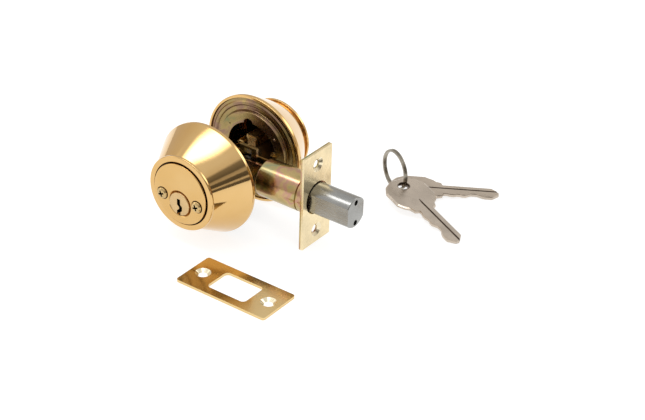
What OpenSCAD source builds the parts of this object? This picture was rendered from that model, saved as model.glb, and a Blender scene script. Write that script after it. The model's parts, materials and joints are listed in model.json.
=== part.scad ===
// Double-cylinder deadbolt lock set, laid out as it is assembled through a door.
// +X is the way the bolt is thrown, -Y is the inside of the door and +Z is up.
// The origin is where the middle of the cross bore meets the middle of the bolt.

/* [Door] */
// Thickness of the door that the two housings clamp
door_t = 40; // [38:1:45]
// Distance from the door's edge to the middle of the cross bore
backset = 60.3; // [60:0.1:72]

/* [Housings] */
// Radius of a collar's wide rim against the door
rim_r = 33; // [32.6:0.1:35]
// Radius of a collar's narrow lip
lip_r = 22.3; // [22:0.1:23.5]
// Depth of a collar from its rim to its lip
collar_d = 24.2; // [23.5:0.1:27]
// Wall thickness of a collar
collar_wall = 1.6; // [1.2:0.1:1.8]
// Radius of the cylinder's face disc
face_r = 18.3; // [17.5:0.1:18.5]
// How far the face disc stands out of the lip
face_proud = 1; // [0.6:0.1:1.6]

/* [Key cylinder] */
// How far the plug's axis lies below the middle of the face
plug_drop = 6; // [5.6:0.1:6.2]
// Radius of the turning plug
plug_r = 6.35; // [6.2:0.05:6.4]
// Number of pin chambers
pins = 5; // [4:1:5]
// Distance between pin chambers
pin_pitch = 3.8; // [3.4:0.1:3.8]
// Radius of the pins
pin_r = 1.4; // [1.2:0.05:1.4]

/* [Mounting screws] */
// Distance between the two mounting screws
screw_span = 24.4; // [24:0.1:25.4]
// How far the screws lie below the middle of the face
screw_drop = 3.4; // [3:0.1:3.6]
// Radius of a mounting screw's shank
screw_r = 2; // [1.8:0.1:2]

/* [Backplates] */
// Radius of the large hole
plate_hole_r = 17.1; // [16.5:0.1:17.5]
// Angle of the notch in the hole, from the +X side as seen from the door
notch_angle = 99; // [90:1:100]

/* [Latch] */
// Distance that the bolt is thrown
throw = 25.4; // [24:0.1:25.4]
// Radius of the bolt's round top and bottom
bolt_r = 9; // [8.6:0.1:9]
// Thickness of the bolt across its two flats
bolt_t = 14.6; // [14:0.1:15]
// Outer radius of the latch tube
tube_r = 11; // [10.9:0.1:12]
// Width of the faceplate
faceplate_w = 25.4; // [24:0.1:28]
// Height of the faceplate
faceplate_h = 57.2; // [54:0.1:60]
// Distance between the faceplate's two screw holes
faceplate_span = 41.3; // [40:0.1:44]

/* [Loose pieces] */
// Length of the strike plate
strike_l = 60; // [57:0.5:64]
// Width of the strike plate
strike_w = 28; // [27:0.5:30]
// Distance between the strike plate's two screw holes
strike_span = 45; // [43:0.5:48]
// Distance from a key's hole to its tip
key_reach = 57; // [54:0.5:60]
// Thickness of a key
key_t = 2.1; // [2:0.1:2.2]
// Middle radius of the key ring
ring_r = 11.7; // [11.5:0.1:12.5]
// Radius of the key ring's wire
wire_r = 0.8; // [0.7:0.1:0.9]

/* [Hidden] */

$fn = 96;
small_fn = 32;
eps = 0.01;
through = 200;

// Colours
polished_brass = "#e8c580";
satin_brass = "#e0cc98";
zinc_yellow = "#b39a68";
plain_brass = "#c9a65a";
nickel = "#b9b6aa";
bolt_steel = "#b4b8b5";
dark_steel = "#6d7278";

// Housings, measured outwards from the middle of the door
rim_z = door_t / 2;
lip_z = rim_z + collar_d;
face_z = lip_z + face_proud;
lip_t = 2.6;
lip_bore_r = 18.9;
rim_inner_r = rim_r - collar_wall;
lip_inner_r = lip_r - 1.9;
flange_r = 20;
flange_z = lip_z - 4;
flange_t = 1.3;

// Key cylinder
running_gap = 0.05;
body_rear_z = rim_z - 1.5;
plug_rear_z = body_rear_z - 0.2;
plug_head_r = plug_r + 0.6;
plug_head_t = 2.2;
plug_proud = 0.6;
plug_bore_r = plug_r + running_gap;
barrel_r = 8.9;
tower_top = 15.3;
tower_w = 5.6;
tower_rail_w = 7;
tower_rail_h = 2.4;
chamber_r = pin_r + running_gap;
first_pin_z = face_z - 5.7;
pin_z = [for (i = [0:pins - 1]) first_pin_z - i * pin_pitch];
key_pin_low = [1, 0.2, 1.3, -0.4, 0.7];
key_pin_top = 6.1;
driver_low = plug_r + 0.08;
driver_len = 4.8;
cap_t = 0.8;
cap_w = 4.2;
pocket_r = 4.6;
pocket_d = 1.2;
lug_d = 1.2;
lug_angle = 40;
quarter_turn = 90;
plug_cap_r = 8.2;
plug_cap_t = 1.4;
blade_w = 5;
blade_t = 2.2;

// Springs over the driver pins
coil_r = 1.05;
coil_wire_r = 0.18;
coil_turns = 4;
coil_steps = 10;
coil_sides = 5;

// Screws
head_r = 3.4;
head_h = 1.7;
screw_tip_z = 34;
post_r = 3.4;
post_end_z = rim_z + 4;

// Backplates
plate_t = 1;
plate_r = rim_inner_r - 0.2;
boss_r = 24;
notch_r = 3.3;
notch_at = 16.3;
pip_at = 20.2;
pip_r = 0.9;

// Latch, along X
nose_x = backset - 7;
tube_x = 25.5;
tube_wall = 0.9;
faceplate_t = 1.3;
backing_t = 1;
plate_x = backset - faceplate_t;
backing_x = plate_x - backing_t;
bolt_hole_r = bolt_r + 0.8;
frame_gap = 5.6;
frame_t = 1.2;
frame_front_x = 33;
frame_rear_x = -17;
frame_h = 17.2;
hub_boss_r = 9;
rivet_r = 1.5;
rivets_at = [[-14, -7.8], [18, -7.8], [26, -5.5]];
bolt_end_x = backset + throw + 0.6;
bolt_rear_x = bolt_end_x - 44.8;
bolt_slot_x = backset - 0.8;
bolt_slot_w = 2 * (frame_gap / 2 + frame_t + 0.3);
hardened_at = 6.3;
hardened_r = 1.6;
crank_r = throw / sqrt(2);
crank_rest = 45;
crank_pin_r = 1.5;
crank_arm_w = 6;
crank_arm_y = 1.25;
crank_arm_t = 1.3;
hub_r = 5.8;
hub_shoulder_r = 6.6;
hub_half_l = 5;
hub_y = frame_gap / 2 - 0.1;
tail_t = 2;
tail_low = 1;
tail_high = 6.5;
tail_head_w = 11.5;
tail_head_top = crank_r - plug_drop + crank_pin_r + 1.8;
tail_slot_w = 4.8;
tail_slot_low = crank_r * cos(crank_rest) - plug_drop - crank_pin_r - 0.5;
tail_slot_top = crank_r - plug_drop + crank_pin_r + 0.5;
tail_front_x = backset + 8.5;
tail_rivet = [backset + 5.5, 3];
wood_screw_r = 2.4;
countersink_r = 4.4;

// Pieces that lie on the surface under the rims
floor_z = -rim_r;
strike_t = 1.6;
strike_land = 0.5;
strike_at = [51.4, -60.4];
strike_open = [25.4, 17.6];
strike_corner_r = 2.5;
ring_at = [57.55, 81.86, floor_z + ring_r + wire_r];
ring_turn = -24.45;
key_a_at = [68.14, 75.73, floor_z + 7.35];
key_a_turn = [6.3, -22.45];
key_b_at = [64.56, 79.67, floor_z + 4.05];
key_b_turn = [3, 36.05];
key_hole_r = 3.8;
key_groove_y = 0.9;
key_groove_w = 1.2;
key_groove_d = 0.5;

// Points along a round stretch about c, from angle a to angle b
function arc(c, r, a, b, n = 6) = [
    for (i = [0:n], turn = a + (b - a) * i / n) c + r * [cos(turn), sin(turn)]
];

// Faces of a swept tube whose rings have m points each
function tube_faces(rings, m) = concat(
    [[for (j = [0:m - 1]) m - 1 - j]],
    [for (i = [0:rings - 2], j = [0:m - 1]) [i * m + j, i * m + (j + 1) % m, (i + 1) * m + (j + 1) % m]],
    [for (i = [0:rings - 2], j = [0:m - 1]) [i * m + j, (i + 1) * m + (j + 1) % m, (i + 1) * m + j]],
    [[for (j = [0:m - 1]) (rings - 1) * m + j]]
);

// The inside housing: local x across, y up and z out of the door
module at_interior() {
    rotate([90, 0, 0]) children();
}

// The outside housing is the same, turned about the vertical
module at_exterior() {
    rotate([0, 0, 180]) at_interior() children();
}

// The plug's own frame inside a housing
module at_plug() {
    translate([0, -plug_drop, 0]) children();
}

// Both mounting screws' places in a housing
module at_screws() {
    for (side = [-1, 1]) {
        translate([side * screw_span / 2, -screw_drop, 0]) children();
    }
}

// A ring or disc between two heights
module disc(r, z0, z1) {
    translate([0, 0, z0]) cylinder(r = r, h = z1 - z0);
}

// A block centred across, between two heights and two depths
module slab(w, y0, y1, z0, z1) {
    translate([-w / 2, y0, z0]) cube([w, y1 - y0, z1 - z0]);
}

// A round hole upwards from the plug's axis at height z, starting at low
module riser(r, low, high, z) {
    translate([0, low, z]) rotate([-90, 0, 0]) cylinder(r = r, h = high - low, $fn = small_fn);
}

// A slice of a disc from angle a to angle b, measured from straight down
module sector(r, a, b, z0, z1) {
    steps = 6;
    reach = 3 * r;
    intersection() {
        disc(r, z0, z1);
        translate([0, 0, z0 - eps]) {
            linear_extrude(z1 - z0 + 2 * eps) {
                polygon(concat([[0, 0]], arc([0, 0], reach, a - 90, b - 90, steps)));
            }
        }
    }
}

// ---- Housing pieces, in a housing's own frame ----

module collar_shape() {
    edge_r = 1;
    lip_edge_r = 0.8;
    neck_z = lip_z - 2.3;
    rotate_extrude() {
        polygon(concat(
            arc([rim_r - edge_r, rim_z + edge_r], edge_r, -90, 0),
            [[rim_r, rim_z + 2.2], [lip_r - 0.7, neck_z], [lip_r - 0.7, neck_z + 0.4], [lip_r, neck_z + 0.6]],
            arc([lip_r - lip_edge_r, lip_z - lip_edge_r], lip_edge_r, 0, 90),
            [[lip_bore_r, lip_z], [lip_bore_r, lip_z - lip_t], [lip_inner_r, lip_z - lip_t]],
            [[rim_inner_r, rim_z + 2.6], [rim_inner_r, rim_z + 0.1], [rim_inner_r + 0.1, rim_z]]
        ));
    }
}

module face_disc() {
    bevel = 0.5;
    rotate_extrude() {
        polygon([
            [0, flange_z], [flange_r, flange_z], [flange_r, flange_z + flange_t],
            [face_r, flange_z + flange_t],
            [face_r, face_z - bevel], [face_r - bevel, face_z], [0, face_z]
        ]);
    }
}

module pin_tower() {
    slab(tower_w, 0, tower_top - tower_rail_h + eps, body_rear_z, flange_z + eps);
    slab(tower_rail_w, tower_top - tower_rail_h, tower_top, body_rear_z, flange_z + eps);
}

module plug_bore() {
    recess_r = 7.9;
    recess_d = 0.9;
    seat_r = plug_head_r + 0.1;
    seat_z = face_z + plug_proud - plug_head_t - 0.1;
    rotate_extrude() {
        polygon([
            [0, body_rear_z - 1], [plug_bore_r, body_rear_z - 1], [plug_bore_r, seat_z], [seat_r, seat_z],
            [seat_r, face_z - recess_d], [recess_r, face_z - recess_d / 3], [recess_r, face_z + 1],
            [0, face_z + 1]
        ]);
    }
}

module cylinder_body_shape(has_posts) {
    post_bore_z = flange_z + 1;
    difference() {
        union() {
            face_disc();
            at_plug() disc(barrel_r, body_rear_z, flange_z + eps);
            at_plug() pin_tower();
            if (has_posts) {
                at_screws() disc(post_r, post_end_z, flange_z + eps, $fn = small_fn);
            }
        }
        at_plug() plug_bore();
        at_plug() {
            for (z = pin_z) {
                riser(chamber_r, 0, tower_top + 1, z);
            }
            slab(cap_w, tower_top - cap_t - 0.05, tower_top + 1, body_rear_z - 1, flange_z - 0.2);
        }
        at_screws() {
            if (has_posts) {
                disc(screw_r + running_gap, post_end_z - 1, post_bore_z);
            } else {
                disc(screw_r + 0.25, flange_z - 1, face_z + 1, $fn = small_fn);
            }
        }
    }
}

// The crooked slot that the key goes into
module keyway_outline() {
    polygon([
        [-1.2, 2.7], [-1.2, -0.6], [0, -1.9], [0, -3], [-1.2, -4.2], [-1.2, -8],
        [0.8, -8], [0.8, -4.7], [1.8, -3.6], [1.8, -1.5], [0.6, -0.3], [0.6, 2.7]
    ]);
}

module plug_shape(pocket_from, pocket_turn) {
    head_z = face_z + plug_proud;
    bevel = 0.4;
    keyway_rear_z = plug_rear_z + 4;
    hole_low = -0.8;
    slack = 1;
    difference() {
        rotate_extrude() {
            polygon([
                [0, plug_rear_z], [plug_r, plug_rear_z], [plug_r, head_z - plug_head_t],
                [plug_head_r, head_z - plug_head_t], [plug_head_r, head_z - bevel],
                [plug_head_r - bevel, head_z],
                [0, head_z]
            ]);
        }
        translate([0, 0, keyway_rear_z]) linear_extrude(head_z) keyway_outline();
        for (z = pin_z) {
            riser(chamber_r, hole_low, plug_r + 1, z);
        }
        disc(pocket_r, plug_rear_z - 1, plug_rear_z + pocket_d);
        sector(
            pocket_r, pocket_from - lug_angle / 2 - slack, pocket_from + lug_angle / 2 + pocket_turn + slack,
            plug_rear_z + pocket_d - eps, plug_rear_z + pocket_d + lug_d + 0.1
        );
    }
}

module plug_cap_shape() {
    hole_r = 3.2;
    bevel = 0.4;
    z0 = plug_rear_z - plug_cap_t;
    rotate_extrude() {
        polygon([
            [hole_r, z0], [plug_cap_r - bevel, z0], [plug_cap_r, z0 + bevel], [plug_cap_r, plug_rear_z],
            [hole_r, plug_rear_z]
        ]);
    }
}

module tailpiece_shape() {
    disc_r = pocket_r - 0.3;
    disc_z = plug_rear_z + 0.1;
    tip_z = 0.6;
    bevel = 0.5;
    disc(disc_r, disc_z, plug_rear_z + pocket_d - 0.1);
    sector(
        disc_r, -lug_angle / 2, lug_angle / 2,
        plug_rear_z + pocket_d - 0.1 - eps, plug_rear_z + pocket_d + lug_d
    );
    rotate([90, 0, 90]) {
        translate([0, 0, -blade_t / 2]) {
            linear_extrude(blade_t) {
                polygon([
                    [-blade_w / 2, disc_z + eps], [-blade_w / 2, tip_z + bevel],
                    [-blade_w / 2 + bevel, tip_z],
                    [blade_w / 2 - bevel, tip_z], [blade_w / 2, tip_z + bevel], [blade_w / 2, disc_z + eps]
                ]);
            }
        }
    }
}

// A pin with a blunt cone at its lower end
module key_pin(low) {
    cone_h = 0.8;
    tip_r = 0.5;
    rotate([-90, 0, 0]) {
        rotate_extrude($fn = small_fn) {
            polygon([
                [0, low], [tip_r, low], [pin_r, low + cone_h], [pin_r, key_pin_top - 0.2],
                [pin_r - 0.2, key_pin_top], [0, key_pin_top]
            ]);
        }
    }
}

module key_pins_shape() {
    for (i = [0:pins - 1]) {
        translate([0, 0, pin_z[i]]) key_pin(key_pin_low[i]);
    }
}

// Drivers have a waist, like the spool pins in such locks
module driver_pins_shape() {
    waist_r = pin_r - 0.4;
    end_l = 0.9;
    low = driver_low;
    high = driver_low + driver_len;
    for (z = pin_z) {
        translate([0, 0, z]) {
            rotate([-90, 0, 0]) {
                rotate_extrude($fn = small_fn) {
                    polygon([
                        [0, low], [pin_r - 0.15, low], [pin_r, low + 0.15], [pin_r, low + end_l],
                        [waist_r, low + end_l], [waist_r, high - end_l], [pin_r, high - end_l],
                        [pin_r, high], [0, high]
                    ]);
                }
            }
        }
    }
}

module coil_spring(low, high) {
    rise = high - low - 2 * coil_wire_r;
    steps = coil_turns * coil_steps;
    points = [
        for (i = [0:steps], j = [0:coil_sides - 1])
            let (
                turn = 360 * i / coil_steps,
                side = 360 * j / coil_sides,
                r = coil_r + coil_wire_r * cos(side),
                up = low + coil_wire_r + rise * i / steps + coil_wire_r * sin(side)
            )
            [r * cos(turn), up, -r * sin(turn)]
    ];
    polyhedron(points, tube_faces(steps + 1, coil_sides));
}

module pin_springs_shape() {
    gap = 0.05;
    for (z = pin_z) {
        translate([0, 0, z]) coil_spring(driver_low + driver_len + gap, tower_top - cap_t - gap);
    }
}

module chamber_cap_shape() {
    gap = 0.05;
    slab(cap_w - 2 * gap, tower_top - cap_t, tower_top, body_rear_z + 0.2, flange_z - 0.4);
}

module backplate_shape() {
    bead_at = 28.2;
    bead_r = 1;
    bead_z = rim_z + 0.1 + bead_r;
    flat_z = rim_z - 1.4;
    land_z = rim_z + 1;
    hole_edge = plate_hole_r - 1;
    difference() {
        rotate_extrude() {
            polygon(concat(
                [[hole_edge, flat_z], [boss_r - 0.6, flat_z], [boss_r, flat_z + 0.5], [boss_r + 0.4, land_z]],
                [[bead_at - 1.9, land_z], [bead_at - bead_r, bead_z - 0.2]],
                arc([bead_at, bead_z], bead_r, 180, 360),
                [[bead_at + bead_r, bead_z - 0.2], [bead_at + 1.8, land_z - 0.1], [plate_r, land_z]],
                [[plate_r, land_z + plate_t], [boss_r - 0.5, land_z + plate_t]],
                [[boss_r - 1.1, flat_z + plate_t]],
                [[hole_edge, flat_z + plate_t]]
            ));
        }
        disc(plate_hole_r, 0, through);
        for (half_turn = [0, 180]) {
            rotate(-notch_angle + 180 + half_turn) translate([notch_at, 0, 0]) disc(notch_r, 0, through);
        }
    }
    for (a = [37, 143, 217, 323]) {
        rotate(a) translate([pip_at, 0, flat_z + pip_r / 2]) sphere(r = pip_r, $fn = small_fn);
    }
}

module cross_recess(top_z) {
    depth = 1.2;
    arm_l = 3.6;
    arm_t = 0.8;
    for (a = [0, 90]) {
        rotate(a + 20) translate([-arm_l / 2, -arm_t / 2, top_z - depth]) cube([arm_l, arm_t, depth + 1]);
    }
}

module mounting_screw() {
    dome = arc([0, face_z - 2.6], 4.3, 38, 90);
    difference() {
        rotate_extrude() {
            polygon(concat(
                [[0, -screw_tip_z], [screw_r - 0.5, -screw_tip_z], [screw_r, -screw_tip_z + 0.8]],
                [[screw_r, face_z + 0.02], [head_r, face_z + 0.02]], dome
            ));
        }
        cross_recess(face_z + head_h);
    }
}

// ---- Latch pieces, in the lock's frame ----

// A shape measured outwards along X
module along_x() {
    rotate([90, 0, 90]) children();
}

module latch_tube() {
    curl_r = 0.7;
    front = nose_x - 0.8;
    color(zinc_yellow) {
        along_x() {
            rotate_extrude() {
                polygon(concat(
                    arc([tube_r - 2 * curl_r, tube_x + 2 * curl_r], 2 * curl_r, 270, 360),
                    [[tube_r, front], [tube_r - tube_wall, front]],
                    arc([tube_r - 2 * curl_r, tube_x + 2 * curl_r], 2 * curl_r - tube_wall, 360, 270)
                ));
            }
        }
    }
}

module latch_nose() {
    groove_r = tube_r - 0.7;
    bore_r = bolt_r + 0.35;
    sleeve_r = tube_r - tube_wall;
    sleeve_l = 4;
    color(zinc_yellow) {
        along_x() {
            rotate_extrude() {
                polygon([
                    [bore_r, nose_x - sleeve_l], [sleeve_r, nose_x - sleeve_l], [sleeve_r, nose_x - 0.8],
                    [groove_r, nose_x - 0.8], [groove_r, nose_x], [tube_r, nose_x], [tube_r, backing_x],
                    [bore_r, backing_x]
                ]);
            }
        }
    }
}

// A flat plate facing +X with the bolt's hole and two screw holes
module door_edge_plate(x0, x1, hole_r) {
    difference() {
        translate([x0, -faceplate_w / 2, -faceplate_h / 2]) cube([x1 - x0, faceplate_w, faceplate_h]);
        along_x() disc(hole_r, 0, through);
        for (side = [-1, 1]) {
            translate([0, 0, side * faceplate_span / 2]) along_x() disc(wood_screw_r, 0, through);
        }
    }
}

module latch_faceplate() {
    color(satin_brass) {
        difference() {
            door_edge_plate(plate_x, backset, bolt_hole_r);
            for (side = [-1, 1]) {
                translate([plate_x, 0, side * faceplate_span / 2]) {
                    along_x() {
                        cylinder(
                            r1 = countersink_r - faceplate_t - 0.1,
                            r2 = countersink_r + 0.1,
                            h = faceplate_t + 0.2
                        );
                    }
                }
            }
        }
    }
}

module latch_backing_plate() {
    color(zinc_yellow) door_edge_plate(backing_x, plate_x, bolt_hole_r - 0.3);
}

module frame_shape(y) {
    color(zinc_yellow) {
        difference() {
            translate([0, y + frame_t / 2, 0]) {
                rotate([90, 0, 0]) {
                    linear_extrude(frame_t) {
                        translate([frame_rear_x, -frame_h / 2]) {
                            square([frame_front_x - frame_rear_x, frame_h]);
                        }
                        translate([0, -plug_drop]) circle(r = hub_boss_r);
                    }
                }
            }
            at_interior() {
                at_plug() disc(hub_r + running_gap, -through, through);
                at_screws() disc(screw_r + 0.6, -through, through, $fn = small_fn);
                for (at = rivets_at) {
                    translate(at) disc(rivet_r, -through, through, $fn = small_fn);
                }
            }
        }
    }
}

module latch_frame_inner() {
    frame_shape(-(frame_gap + frame_t) / 2);
}

module latch_frame_outer() {
    frame_shape((frame_gap + frame_t) / 2);
}

module frame_rivets() {
    half_l = frame_gap / 2 + frame_t;
    waist_r = rivet_r + 0.8;
    color(dark_steel) {
        at_interior() {
            for (at = rivets_at) {
                translate(at) {
                    disc(rivet_r, -half_l, half_l, $fn = small_fn);
                    disc(waist_r, -frame_gap / 2, frame_gap / 2, $fn = small_fn);
                }
            }
        }
    }
}

// One of the two arms that carry the crank pin
module crank_arm(z) {
    difference() {
        union() {
            translate([-crank_arm_w / 2, 0, z]) cube([crank_arm_w, crank_r, crank_arm_t]);
            translate([0, crank_r, 0]) disc(crank_arm_w / 2, z, z + crank_arm_t);
        }
        disc(hub_shoulder_r - 1, z - 1, z + crank_arm_t + 1);
    }
}

module crank_hub() {
    slot_gap = 0.2;
    color(dark_steel) {
        at_interior() {
            at_plug() {
                difference() {
                    union() {
                        disc(hub_r, -hub_half_l, hub_half_l);
                        disc(hub_shoulder_r, -hub_y, hub_y);
                        rotate(-crank_rest) {
                            crank_arm(crank_arm_y);
                            crank_arm(-crank_arm_y - crank_arm_t);
                            translate([0, crank_r, 0]) {
                                disc(crank_pin_r, -crank_arm_y - crank_arm_t, crank_arm_y + crank_arm_t);
                            }
                        }
                    }
                    translate([-blade_t / 2 - slot_gap, -blade_w / 2 - slot_gap, -through / 2]) {
                        cube([blade_t + 2 * slot_gap, blade_w + 2 * slot_gap, through]);
                    }
                }
            }
        }
    }
}

module bolt() {
    bevel = 0.8;
    hole_x = bolt_end_x - 14.5;
    tail_room = 0.05;
    color(bolt_steel) {
        difference() {
            intersection() {
                along_x() {
                    rotate_extrude() {
                        polygon([
                            [0, bolt_rear_x], [bolt_r, bolt_rear_x], [bolt_r, bolt_end_x - bevel],
                            [bolt_r - bevel, bolt_end_x], [0, bolt_end_x]
                        ]);
                    }
                }
                translate([0, -bolt_t / 2, -bolt_r]) cube([through, bolt_t, 2 * bolt_r]);
            }
            translate([0, -bolt_slot_w / 2, -through / 2]) cube([bolt_slot_x, bolt_slot_w, through]);
            translate([0, -tail_t / 2 - tail_room, tail_low - tail_room]) {
                cube([
                    tail_front_x + tail_room, tail_t + 2 * tail_room, tail_high - tail_low + 2 * tail_room
                ]);
            }
            at_interior() translate(tail_rivet) disc(rivet_r, -through, through, $fn = small_fn);
            for (side = [-1, 1]) {
                translate([hole_x, 0, side * hardened_at]) {
                    along_x() cylinder(r = hardened_r, h = through, $fn = small_fn);
                }
            }
        }
    }
}

module bolt_tail() {
    head_x = crank_r * sin(crank_rest);
    color(zinc_yellow) {
        difference() {
            translate([0, tail_t / 2, 0]) {
                rotate([90, 0, 0]) {
                    linear_extrude(tail_t) {
                        difference() {
                            union() {
                                translate([head_x, tail_low]) {
                                    square([tail_front_x - head_x, tail_high - tail_low]);
                                }
                                translate([head_x - tail_head_w / 2, tail_low]) {
                                    square([tail_head_w, tail_head_top - tail_low]);
                                }
                            }
                            translate([head_x - tail_slot_w / 2, tail_slot_low]) {
                                square([tail_slot_w, tail_slot_top - tail_slot_low]);
                            }
                        }
                    }
                }
            }
            at_interior() translate(tail_rivet) disc(rivet_r, -through, through, $fn = small_fn);
        }
    }
}

module bolt_tail_rivet() {
    half_l = bolt_t / 2 - 0.1;
    color(dark_steel) at_interior() translate(tail_rivet) disc(rivet_r, -half_l, half_l, $fn = small_fn);
}

module bolt_hardened_pins() {
    recess = 2.5;
    gap = 0.1;
    color(dark_steel) {
        for (side = [-1, 1]) {
            translate([bolt_end_x - 14.5 + gap, 0, side * hardened_at]) {
                along_x() cylinder(r = hardened_r - gap / 2, h = 14.5 - recess, $fn = small_fn);
            }
        }
    }
}

// ---- Loose pieces ----

// A rectangle with rounded corners
module rounded(size, r) {
    x = size[0] / 2 - r;
    y = size[1] / 2 - r;
    polygon(concat(
        arc([x, y], r, 0, 90), arc([-x, y], r, 90, 180), arc([-x, -y], r, 180, 270), arc([x, -y], r, 270, 360)
    ));
}

module strike_plate() {
    color(polished_brass) {
        translate([strike_at[0], strike_at[1], floor_z]) {
            difference() {
                linear_extrude(strike_t) {
                    difference() {
                        rounded([strike_l, strike_w], 0.8);
                        rounded(strike_open, strike_corner_r);
                    }
                }
                for (side = [-1, 1]) {
                    translate([side * strike_span / 2, 0, 0]) {
                        disc(wood_screw_r, -1, strike_t + 1);
                        translate([0, 0, strike_land]) {
                            cylinder(r1 = wood_screw_r, r2 = countersink_r, h = strike_t - strike_land + eps);
                        }
                    }
                }
            }
        }
    }
}

module key_ring() {
    color(dark_steel) {
        translate(ring_at) {
            rotate([90, 0, ring_turn]) {
                rotate_extrude() translate([ring_r, 0]) circle(r = wire_r, $fn = small_fn);
            }
        }
    }
}

// A key lying flat: its hole at the origin, its blade along +X and its cuts on the -Y side
module key_outline() {
    edge_y = 4.4;
    deep_y = -3.2;
    low_y = -5.4;
    polygon([
        [-7.4, -4.6], [-3.4, -10.4], [2, -13.5], [14, -13.5], [18, -11.2], [20.4, -8.3], [23.4, -7.3],
        [24.2, -4.8], [26.6, -4.8], [27.8, low_y], [30.4, low_y], [32, -4.7], [33.8, -4.7], [35.2, -5.2],
        [37.2, -5.2], [40.4, deep_y], [43.8, deep_y], [46.6, -4.8], [48.6, low_y], [key_reach - 4, low_y],
        [key_reach, -1.6], [key_reach, 0.6], [key_reach - 4, edge_y], [24.2, edge_y], [23.4, 6.9],
        [20.4, 7.9], [18, 10.9], [14, 13.3], [2, 13.3], [-3.4, 10], [-7.4, 4.2]
    ]);
}

module key_shape() {
    groove_x = 14;
    difference() {
        translate([0, 0, -key_t / 2]) {
            linear_extrude(key_t) {
                difference() {
                    key_outline();
                    circle(r = key_hole_r);
                }
            }
        }
        for (side = [-1, 1]) {
            groove_z = side * (key_t - key_groove_d) / 2 - key_groove_d / 2 - eps;
            translate([groove_x, side * key_groove_y - key_groove_w / 2, groove_z]) {
                cube([key_reach, key_groove_w, key_groove_d + 2 * eps]);
            }
        }
    }
}

module key_a() {
    color(nickel) translate(key_a_at) rotate([0, key_a_turn[0], key_a_turn[1]]) key_shape();
}

module key_b() {
    color(nickel) translate(key_b_at) rotate([0, key_b_turn[0], key_b_turn[1]]) key_shape();
}

// ---- Housing pieces, in place ----

module interior_collar() { color(polished_brass) at_interior() collar_shape(); }
module interior_cylinder_body() { color(polished_brass) at_interior() cylinder_body_shape(false); }
module interior_plug() { color(nickel) at_interior() at_plug() plug_shape(0, quarter_turn); }
module interior_plug_cap() { color(plain_brass) at_interior() at_plug() plug_cap_shape(); }
module interior_tailpiece() { color(dark_steel) at_interior() at_plug() tailpiece_shape(); }
module interior_key_pins() { color(plain_brass) at_interior() at_plug() key_pins_shape(); }
module interior_driver_pins() { color(plain_brass) at_interior() at_plug() driver_pins_shape(); }
module interior_pin_springs() { color(dark_steel) at_interior() at_plug() pin_springs_shape(); }
module interior_chamber_cap() { color(plain_brass) at_interior() at_plug() chamber_cap_shape(); }
module interior_backplate() { color(zinc_yellow) at_interior() backplate_shape(); }
module mounting_screws() { color(plain_brass) at_interior() at_screws() mounting_screw(); }

module exterior_collar() { color(polished_brass) at_exterior() collar_shape(); }
module exterior_cylinder_body() { color(polished_brass) at_exterior() cylinder_body_shape(true); }
module exterior_plug() {
    color(nickel) at_exterior() at_plug() plug_shape(-2 * quarter_turn, 2 * quarter_turn);
}
module exterior_plug_cap() { color(plain_brass) at_exterior() at_plug() plug_cap_shape(); }
module exterior_tailpiece() { color(dark_steel) at_exterior() at_plug() tailpiece_shape(); }
module exterior_key_pins() { color(plain_brass) at_exterior() at_plug() key_pins_shape(); }
module exterior_driver_pins() { color(plain_brass) at_exterior() at_plug() driver_pins_shape(); }
module exterior_pin_springs() { color(dark_steel) at_exterior() at_plug() pin_springs_shape(); }
module exterior_chamber_cap() { color(plain_brass) at_exterior() at_plug() chamber_cap_shape(); }
module exterior_backplate() { color(zinc_yellow) at_exterior() backplate_shape(); }

interior_collar();
interior_cylinder_body();
interior_plug();
interior_plug_cap();
interior_tailpiece();
interior_key_pins();
interior_driver_pins();
interior_pin_springs();
interior_chamber_cap();
interior_backplate();
mounting_screws();
exterior_collar();
exterior_cylinder_body();
exterior_plug();
exterior_plug_cap();
exterior_tailpiece();
exterior_key_pins();
exterior_driver_pins();
exterior_pin_springs();
exterior_chamber_cap();
exterior_backplate();
latch_tube();
latch_nose();
latch_faceplate();
latch_backing_plate();
latch_frame_inner();
latch_frame_outer();
frame_rivets();
crank_hub();
bolt();
bolt_tail();
bolt_tail_rivet();
bolt_hardened_pins();
strike_plate();
key_ring();
key_a();
key_b();
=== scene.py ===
import json
import math
import bmesh
import bpy
from mathutils import Matrix, Vector


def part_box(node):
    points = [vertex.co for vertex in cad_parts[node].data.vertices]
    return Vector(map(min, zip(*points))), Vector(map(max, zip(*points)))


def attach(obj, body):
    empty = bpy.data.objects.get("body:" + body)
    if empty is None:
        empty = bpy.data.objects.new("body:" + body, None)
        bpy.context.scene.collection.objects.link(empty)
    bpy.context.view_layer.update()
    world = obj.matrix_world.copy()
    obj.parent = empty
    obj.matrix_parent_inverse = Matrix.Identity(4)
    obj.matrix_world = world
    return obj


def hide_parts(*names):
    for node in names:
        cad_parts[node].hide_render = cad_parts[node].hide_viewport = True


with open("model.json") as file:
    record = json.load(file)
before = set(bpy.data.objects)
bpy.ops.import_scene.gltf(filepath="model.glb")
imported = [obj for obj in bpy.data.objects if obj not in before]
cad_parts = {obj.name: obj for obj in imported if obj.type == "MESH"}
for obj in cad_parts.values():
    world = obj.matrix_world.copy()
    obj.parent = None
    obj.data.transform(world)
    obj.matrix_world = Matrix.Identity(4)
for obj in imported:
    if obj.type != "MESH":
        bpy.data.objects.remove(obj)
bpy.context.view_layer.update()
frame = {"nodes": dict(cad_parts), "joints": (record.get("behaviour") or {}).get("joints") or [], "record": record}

# The helpers' arguments are in millimetres; what they put into Blender is in metres.
MM = 0.001
SEGMENTS = 192
# A cutter for a hole that goes right through a piece reaches this far.
THROUGH = 99

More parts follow.
